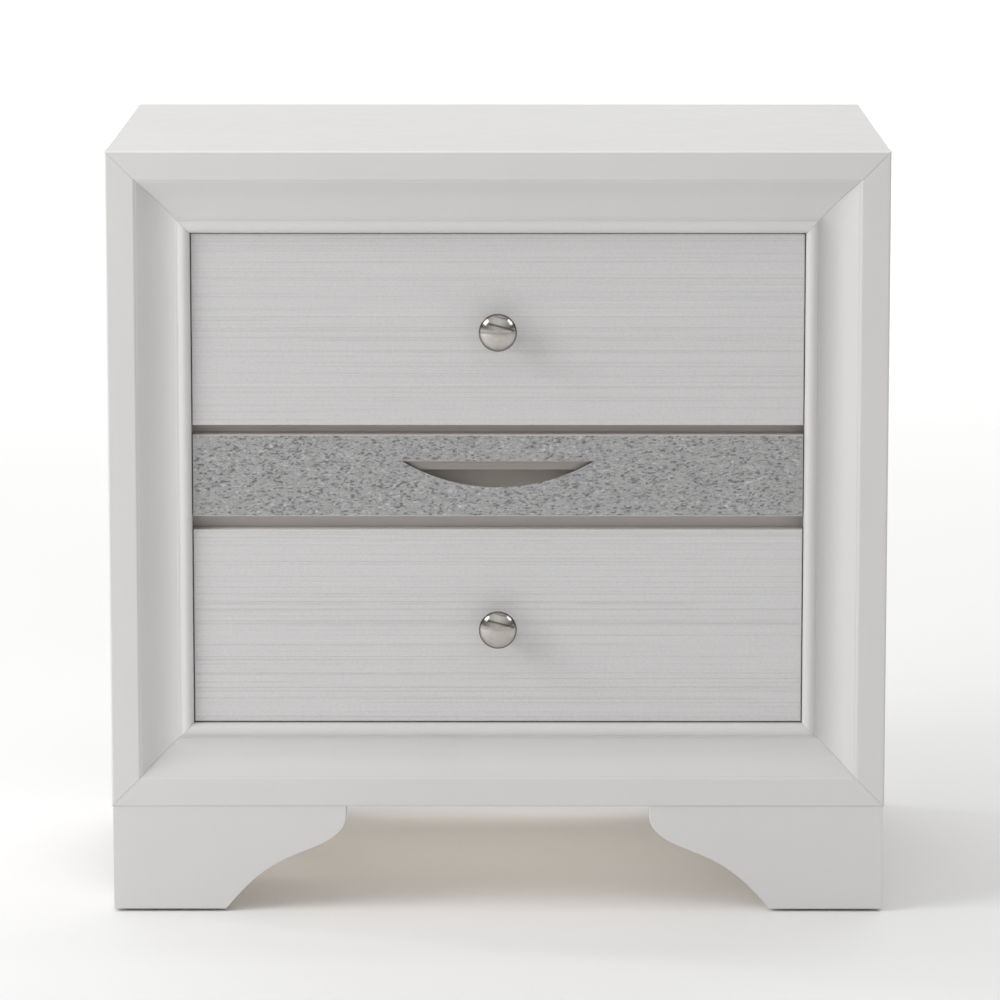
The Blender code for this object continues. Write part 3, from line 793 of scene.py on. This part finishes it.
def build_knobs():
    made = []
    for drawer in COMB_SEEDS:
        node = "knob_" + drawer
        low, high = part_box(node)
        piece = lathe(node + "_finish", knob_profile(), KNOB_STEPS)
        spin = Matrix.Rotation(math.pi / 2, 4, "X")
        middle = Vector(((low[0] + high[0]) / 2, high[1], (low[2] + high[2]) / 2))
        piece.data.transform(Matrix.Translation(middle) @ spin)
        # Marks the knob's rim for a line of painted shade
        places = point_places(piece)
        reach = np.hypot(places[:, 0] - middle.x, places[:, 2] - middle.z)
        rim = (reach - KNOB_RADIUS + RIM_SHADE) / (0.4 * RIM_SHADE)
        store(piece, "rim", np.clip(rim, 0, 1))
        shade(piece, KNOB_SHARP, weighted=False)
        made.append(finish_piece(piece, "drawer_" + drawer, [node]))
    return made


# Materials


def new_material(name, **values):
    """A Principled material, with plain values set on the shader's own sockets."""
    made = bpy.data.materials.new(name)
    made.use_nodes = True
    shader = made.node_tree.nodes["Principled BSDF"]
    for socket, value in values.items():
        shader.inputs[socket.replace("_", " ")].default_value = value
    return made, made.node_tree, shader


def add_node(tree, kind, **settings):
    node = tree.nodes.new(kind)
    for name, value in settings.items():
        if name in node.inputs:
            node.inputs[name].default_value = value
        else:
            setattr(node, name, value)
    return node


def plug(tree, socket, value):
    """Links another node's socket, or sets a plain number, vector or colour."""
    if isinstance(value, bpy.types.NodeSocket):
        tree.links.new(value, socket)
    elif socket.type == "RGBA":
        socket.default_value = (*value, 1)
    else:
        socket.default_value = value


def calculate(tree, operation, *values):
    """A Math node's result over sockets and plain numbers."""
    node = add_node(tree, "ShaderNodeMath", operation=operation)
    for socket, value in zip(node.inputs, values):
        plug(tree, socket, value)
    return node.outputs["Value"]


def calculate_vector(tree, operation, *values):
    """A Vector Math node's result over sockets and plain vectors."""
    node = add_node(tree, "ShaderNodeVectorMath", operation=operation)
    for socket, value in zip(node.inputs, values):
        plug(tree, socket, value)
    return node.outputs["Value" if operation == "DOT_PRODUCT" else "Vector"]


def squared(tree, value):
    return calculate(tree, "MULTIPLY", value, value)


def part_along(tree, vector, axis):
    """One of a vector's three parts."""
    split = add_node(tree, "ShaderNodeSeparateXYZ")
    tree.links.new(vector, split.inputs["Vector"])
    return split.outputs[axis]


def stored(tree, name):
    """A number that store() kept at the piece's points."""
    return add_node(tree, "ShaderNodeAttribute", attribute_name=name).outputs["Fac"]


def object_places(tree, scale):
    """The piece's own coordinates, stretched."""
    places = add_node(tree, "ShaderNodeTexCoord")
    mapping = add_node(tree, "ShaderNodeMapping")
    mapping.inputs["Scale"].default_value = scale
    tree.links.new(places.outputs["Object"], mapping.inputs["Vector"])
    return mapping.outputs["Vector"]


def noise(tree, scale, detail=3.0, roughness=0.55):
    node = add_node(tree, "ShaderNodeTexNoise", Scale=1.0, Detail=detail, Roughness=roughness)
    tree.links.new(object_places(tree, scale), node.inputs["Vector"])
    return node.outputs["Fac"]


def ramp(tree, source, stops):
    """A colour ramp over (place, colour) stops."""
    node = tree.nodes.new("ShaderNodeValToRGB")
    elements = node.color_ramp.elements
    elements[0].position, elements[0].color = stops[0][0], (*stops[0][1], 1)
    elements[1].position, elements[1].color = stops[-1][0], (*stops[-1][1], 1)
    for place, colour in stops[1:-1]:
        elements.new(place).color = (*colour, 1)
    tree.links.new(source, node.inputs["Fac"])
    return node.outputs["Color"]


def stretch(tree, source, low, high, new_low, new_high):
    """A number carried from one range to another and held at its ends."""
    node = add_node(tree, "ShaderNodeMapRange")
    for name, value in (("From Min", low), ("From Max", high), ("To Min", new_low), ("To Max", new_high)):
        node.inputs[name].default_value = value
    tree.links.new(source, node.inputs["Value"])
    return node.outputs["Result"]


def mix_colours(tree, share, first, second, blend_type="MIX"):
    node = add_node(tree, "ShaderNodeMixRGB", blend_type=blend_type)
    plug(tree, node.inputs["Fac"], share)
    plug(tree, node.inputs["Color1"], first)
    plug(tree, node.inputs["Color2"], second)
    return node.outputs["Color"]


def bump(tree, shader, source, distance, strength=1.0):
    node = add_node(tree, "ShaderNodeBump", Strength=strength, Distance=distance)
    tree.links.new(source, node.inputs["Height"])
    tree.links.new(node.outputs["Normal"], shader.inputs["Normal"])


def grey(value):
    return (value, value, value)


def lacquer_material(name, low, high):
    """Satin lacquer whose colour drifts between two tones, painted lighter as a highlight along a marked
    edge.
    """
    made, tree, shader = new_material(name, Coat_Weight=0.28, Coat_Roughness=0.18)
    cloud = noise(tree, (5, 5, 5), 2.0)
    colour = ramp(tree, cloud, ((0.3, low), (0.7, high)))
    # Painted highlight: a lighter colour on the marked edge
    colour = mix_colours(tree, stored(tree, "painted_highlight"), colour, PAINTED_HIGHLIGHT_COLOUR)
    tree.links.new(colour, shader.inputs["Base Color"])
    smear = noise(tree, (38, 38, 38), 3.0)
    tree.links.new(stretch(tree, smear, 0.3, 0.7, 0.36, 0.46), shader.inputs["Roughness"])
    peel = noise(tree, (420, 420, 420), 2.0)
    bump(tree, shader, peel, 0.00006)
    return made


def paint_edges(tree, shader, colour, rough, paint):
    """Paints the board's edges, and the pull's walls in a dark painted shade, by the stored distance
    inside the outline.
    """
    inside = stored(tree, "inside")
    share = stretch(tree, inside, 0.55, 0.95, 0.0, 1.0)
    # Points marked -1 get the painted shade of the pull's walls
    edges = mix_colours(tree, stretch(tree, inside, -0.9, -0.1, 0.0, 1.0), PAINTED_LIP_SHADE, paint)
    tree.links.new(mix_colours(tree, share, edges, colour), shader.inputs["Base Color"])
    blend = add_node(tree, "ShaderNodeMix", data_type="FLOAT")
    blend.inputs["A"].default_value = PAINT_ROUGHNESS
    tree.links.new(share, blend.inputs["Factor"])
    tree.links.new(rough, blend.inputs["B"])
    tree.links.new(blend.outputs["Result"], shader.inputs["Roughness"])
    return share


def laminate_material():
    """Pale laminate with streaks along its combed lines, which are darker where they are deep."""
    made, tree, shader = new_material("combed_laminate_look")
    streak = noise(tree, (6, 60, 900), 4.0, 0.6)
    stops = ((0.30, (0.656, 0.650, 0.652)), (0.50, (0.673, 0.666, 0.666)), (0.70, (0.690, 0.683, 0.681)))
    groove = stretch(tree, stored(tree, "relief"), 0.45, 1.4, 0.0, 0.55)
    colour = mix_colours(tree, groove, ramp(tree, streak, stops), (0.74, 0.73, 0.73), "MULTIPLY")
    fibre = noise(tree, (420, 420, 1000), 2.0)
    specks = ramp(tree, fibre, ((0.3, grey(0.92)), (0.6, grey(1.0))))
    colour = mix_colours(tree, 1.0, colour, specks, "MULTIPLY")
    rough = stretch(tree, streak, 0.3, 0.7, 0.52, 0.40)
    paint_edges(tree, shader, colour, rough, LAMINATE_EDGE)
    bump(tree, shader, noise(tree, (20, 60, 1800), 3.0), 0.00005, 0.6)
    return made


def foil_material():
    """Crushed metal foil, its dents darkened as painted shade: each small cell is tilted its own way, so
    that a few of them flash.
    """
    made, tree, shader = new_material("glitter_foil_look")
    cells = add_node(tree, "ShaderNodeTexVoronoi", Scale=1.0)
    tree.links.new(object_places(tree, (900, 900, 1500)), cells.inputs["Vector"])
    # Painted shade: the colour darkens with the dents' depth
    stops = ((0.0, grey(0.74)), (0.30, grey(0.60)), (0.7, grey(0.40)), (1.0, grey(0.23)))
    colour = ramp(tree, stretch(tree, stored(tree, "relief"), 0.2, 1.8, 0.0, 1.0), stops)
    rough = stretch(tree, cells.outputs["Distance"], 0.0, 1.0, 0.34, 0.48)
    share = paint_edges(tree, shader, colour, rough, FOIL_EDGE)
    tree.links.new(calculate(tree, "MULTIPLY", share, FOIL_METAL), shader.inputs["Metallic"])
    tilt = add_node(tree, "ShaderNodeVectorMath", operation="SCALE")
    tree.links.new(calculate_vector(tree, "SUBTRACT", cells.outputs["Color"], grey(0.5)), tilt.inputs[0])
    tree.links.new(calculate(tree, "MULTIPLY", share, FOIL_TILT), tilt.inputs["Scale"])
    normal = add_node(tree, "ShaderNodeNewGeometry").outputs["Normal"]
    tilted = calculate_vector(tree, "ADD", normal, tilt.outputs["Vector"])
    tree.links.new(calculate_vector(tree, "NORMALIZE", tilted), shader.inputs["Normal"])
    return made


def recess_material():
    made, tree, shader = new_material("recess_paint_look")
    cloud = noise(tree, (90, 90, 90), 3.0)
    low = [0.94 * level for level in RECESS_COLOUR]
    tree.links.new(ramp(tree, cloud, ((0.3, low), (0.7, RECESS_COLOUR))), shader.inputs["Base Color"])
    tree.links.new(stretch(tree, cloud, 0.3, 0.7, 0.40, 0.52), shader.inputs["Roughness"])
    bump(tree, shader, noise(tree, (420, 420, 420), 2.0), 0.00006)
    return made


def nickel_material():
    """Brushed nickel, with painted shade in a darker line round the knob's rim."""
    made, tree, shader = new_material("brushed_nickel_look", Metallic=1.0)
    haze = noise(tree, (260, 260, 260), 3.0)
    colour = ramp(tree, haze, ((0.3, (0.50, 0.47, 0.435)), (0.7, (0.56, 0.53, 0.495))))
    tree.links.new(mix_colours(tree, stored(tree, "rim"), colour, PAINTED_RIM_SHADE), shader.inputs["Base Color"])
    tree.links.new(stretch(tree, haze, 0.3, 0.7, 0.13, 0.20), shader.inputs["Roughness"])
    bump(tree, shader, noise(tree, (2600, 2600, 2600), 2.0), 0.00001, 0.6)
    return made


def zinc_material():
    made, tree, shader = new_material("zinc_steel_look", Metallic=1.0)
    haze = noise(tree, (60, 8, 60), 4.0)
    colour = ramp(tree, haze, ((0.3, (0.50, 0.51, 0.52)), (0.7, (0.66, 0.66, 0.65))))
    tree.links.new(colour, shader.inputs["Base Color"])
    tree.links.new(stretch(tree, haze, 0.3, 0.7, 0.28, 0.42), shader.inputs["Roughness"])
    bump(tree, shader, noise(tree, (900, 60, 900), 2.0), 0.00002, 0.5)
    return made


def birch_material(name, along, through):
    """Pale plywood: grain along one axis, and its plies in stripes on the board's edges."""
    made, tree, shader = new_material(name)
    scale = [70, 70, 70]
    scale["XYZ".index(along)] = 3.2
    grain = noise(tree, scale, 5.0, 0.62)
    stops = ((0.25, (0.600, 0.490, 0.350)), (0.5, (0.690, 0.585, 0.440)), (0.75, (0.750, 0.650, 0.505)))
    face_colour = ramp(tree, grain, stops)

    place = part_along(tree, add_node(tree, "ShaderNodeTexCoord").outputs["Object"], through)
    wave = calculate(tree, "SINE", calculate(tree, "MULTIPLY", place, 2 * math.pi / PLY))
    plies = ((0.35, (0.430, 0.320, 0.205)), (0.5, (0.560, 0.450, 0.315)), (0.62, (0.700, 0.600, 0.455)))
    ply_colour = ramp(tree, stretch(tree, wave, -1, 1, 0, 1), plies)

    normal = add_node(tree, "ShaderNodeNewGeometry").outputs["Normal"]
    facing = calculate(tree, "ABSOLUTE", part_along(tree, normal, through))
    share = stretch(tree, facing, 0.35, 0.75, 0.0, 1.0)
    tree.links.new(mix_colours(tree, share, ply_colour, face_colour), shader.inputs["Base Color"])
    tree.links.new(stretch(tree, grain, 0.3, 0.7, 0.62, 0.46), shader.inputs["Roughness"])
    fine = [1200, 1200, 1200]
    fine["XYZ".index(along)] = 25
    bump(tree, shader, noise(tree, fine, 3.0), 0.00008, 0.7)
    return made


def plastic_material():
    made, tree, shader = new_material("grey_plastic_look")
    grainy = noise(tree, (900, 900, 900), 2.0)
    colour = ramp(tree, grainy, ((0.3, (0.30, 0.30, 0.31)), (0.7, (0.37, 0.37, 0.38))))
    tree.links.new(colour, shader.inputs["Base Color"])
    tree.links.new(stretch(tree, grainy, 0.3, 0.7, 0.42, 0.55), shader.inputs["Roughness"])
    bump(tree, shader, grainy, 0.00003, 0.6)
    return made


def floor_material():
    made, tree, shader = new_material("studio_floor_look", Specular_IOR_Level=0.3)
    cloud = noise(tree, (0.8, 0.8, 0.8), 2.0)
    colour = ramp(tree, cloud, ((0.3, (0.885, 0.880, 0.875)), (0.7, (0.900, 0.896, 0.892))))
    tree.links.new(colour, shader.inputs["Base Color"])
    tree.links.new(stretch(tree, cloud, 0.3, 0.7, 0.55, 0.65), shader.inputs["Roughness"])
    return made


def birch_for(name):
    """Plywood whose grain runs along a node's longest side and whose plies lie across its shortest."""
    low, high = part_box(name)
    sides = [high[k] - low[k] for k in range(3)]
    along = "XYZ"[sides.index(max(sides))]
    through = "XYZ"[sides.index(min(sides))]
    label = "box_birch_" + along.lower() + through.lower()
    return bpy.data.materials.get(label) or birch_material(label, along, through)


def ease_node(node):
    """Softens the edges of a CAD node that is shown, without touching its mesh."""
    weld = node.modifiers.new("weld", "WELD")
    weld.merge_threshold = 1e-5
    ease = node.modifiers.new("ease", "BEVEL")
    ease.width = NODE_EASE
    ease.segments = 2
    ease.limit_method = "ANGLE"
    ease.angle_limit = EDGE_ANGLES[0]
    node.modifiers.new("normals", "WEIGHTED_NORMAL")


def dress(pieces):
    """Gives each new piece its look, and each CAD node that is still shown the look of its slot."""
    looks = {
        "white_lacquer": lacquer_material("white_lacquer_look", *LACQUER_TONES),
        # The lacquer with painted warm bounce light, for the divider rails
        "warm_bounce_lacquer": lacquer_material("warm_bounce_lacquer_look", *WARM_BOUNCE_TONES),
        "combed_laminate": laminate_material(),
        "glitter_foil": foil_material(),
        "brushed_nickel": nickel_material(),
        "zinc_steel": zinc_material(),
        "grey_plastic": plastic_material(),
    }
    recess = recess_material()
    for piece, look in pieces:
        if look == "box_birch":
            piece.data.materials.append(birch_for(piece.name.removesuffix("_finish")))
            piece.data.materials.append(recess)
        else:
            piece.data.materials.append(looks[look])
    slots = {entry["node"]: entry["material_slot"] for entry in frame["record"]["subparts"]}
    for name, node in frame["nodes"].items():
        slot = slots[name]
        for holder in node.material_slots:
            holder.material = birch_for(name) if slot == "box_birch" else looks[slot]
        ease_node(node)


# Studio


def add_area(name, place, target, size, power):
    data = bpy.data.lights.new(name, "AREA")
    data.shape = "RECTANGLE"
    data.size, data.size_y = size
    data.energy = power
    lamp = bpy.data.objects.new(name, data)
    lamp.location = place
    lamp.rotation_euler = (Vector(target) - Vector(place)).to_track_quat("-Z", "Y").to_euler()
    lamp.visible_camera = False
    lamp.visible_glossy = name not in MATT_LAMPS
    bpy.context.scene.collection.objects.link(lamp)


def add_key():
    """The distant lamp that throws the soft shadows, from behind the case on the left."""
    data = bpy.data.lights.new("key", "SUN")
    data.energy = KEY_POWER
    data.angle = KEY_SPREAD
    lamp = bpy.data.objects.new("key", data)
    level = math.cos(KEY_HEIGHT)
    source = Vector((-math.sin(KEY_TURN) * level, math.cos(KEY_TURN) * level, math.sin(KEY_HEIGHT)))
    lamp.rotation_euler = source.to_track_quat("Z", "Y").to_euler()
    bpy.context.scene.collection.objects.link(lamp)


def build_sky():
    """A pale tent: brightest along the horizon, less so at the front, with two dark seams."""
    world = bpy.data.worlds.new("studio_air")
    bpy.context.scene.world = world
    world.use_nodes = True
    tree = world.node_tree
    towards = add_node(tree, "ShaderNodeTexCoord").outputs["Generated"]
    total = SKY_BASE
    for side, level in SKY.items():
        lean = calculate(tree, "MAXIMUM", calculate_vector(tree, "DOT_PRODUCT", towards, side), 0)
        total = calculate(tree, "MULTIPLY_ADD", squared(tree, lean), level, total)

    forwards = calculate(tree, "MINIMUM", part_along(tree, towards, "Y"), 0)
    dimmed = HORIZON * (1 - FRONT_DIMMING)
    horizon = stretch(tree, squared(tree, forwards), 0, 1, HORIZON, dimmed)
    height = calculate(tree, "ABSOLUTE", part_along(tree, towards, "Z"))
    band = stretch(tree, height, *HORIZON_BAND, 1, 0)
    total = calculate(tree, "MULTIPLY_ADD", band, horizon, total)

    # The seams fade out towards the back
    strength = stretch(tree, part_along(tree, towards, "Y"), *SEAM_FADE, 1, 0)
    lean = calculate_vector(tree, "DOT_PRODUCT", towards, SEAM_AXIS)
    for level, width, light_left in TENT_SEAMS:
        away = calculate(tree, "ABSOLUTE", calculate(tree, "SUBTRACT", lean, level))
        loss = stretch(tree, away, SEAM_CORE * width, width, light_left - 1, 0)
        total = calculate(tree, "MULTIPLY", total, calculate(tree, "MULTIPLY_ADD", loss, strength, 1))
    tree.links.new(total, tree.nodes["Background"].inputs["Color"])


def build_studio():
    bm = bmesh.new()
    bmesh.ops.create_grid(bm, x_segments=1, y_segments=1, size=FLOOR_REACH)
    floor = object_from_bmesh("studio_floor", bm)
    floor.data.materials.append(floor_material())
    for lamp in LAMPS:
        add_area(*lamp)
    add_key()
    build_sky()


def build_camera():
    """In front of the case and above its top, tilted down to it."""
    data = bpy.data.cameras.new("camera")
    data.lens = LENS
    data.sensor_width = SENSOR
    data.clip_end = CAMERA_FAR
    camera = bpy.data.objects.new("camera", data)
    camera.location = CAMERA_PLACE
    camera.rotation_euler = (CAMERA_TILT, 0, CAMERA_TURN)
    bpy.context.scene.collection.objects.link(camera)
    bpy.context.scene.camera = camera
    bpy.context.scene.view_settings.view_transform = "Standard"


def main():
    build_camera()
    build_studio()
    white = build_frame() + build_panels() + build_feet()
    pieces = [(piece, "white_lacquer") for piece in white]
    # The divider rails take the lacquer with painted warm bounce light
    pieces += [(piece, "warm_bounce_lacquer") for piece in build_dividers()]
    for drawer, seed in COMB_SEEDS.items():
        pieces.append((build_combed_front(drawer, seed), "combed_laminate"))
    pieces.append((build_foil_front(), "glitter_foil"))
    pieces.append((build_jewel_box_front(), "box_birch"))
    pieces += [(piece, "brushed_nickel") for piece in build_knobs()]
    dress(pieces)


main()
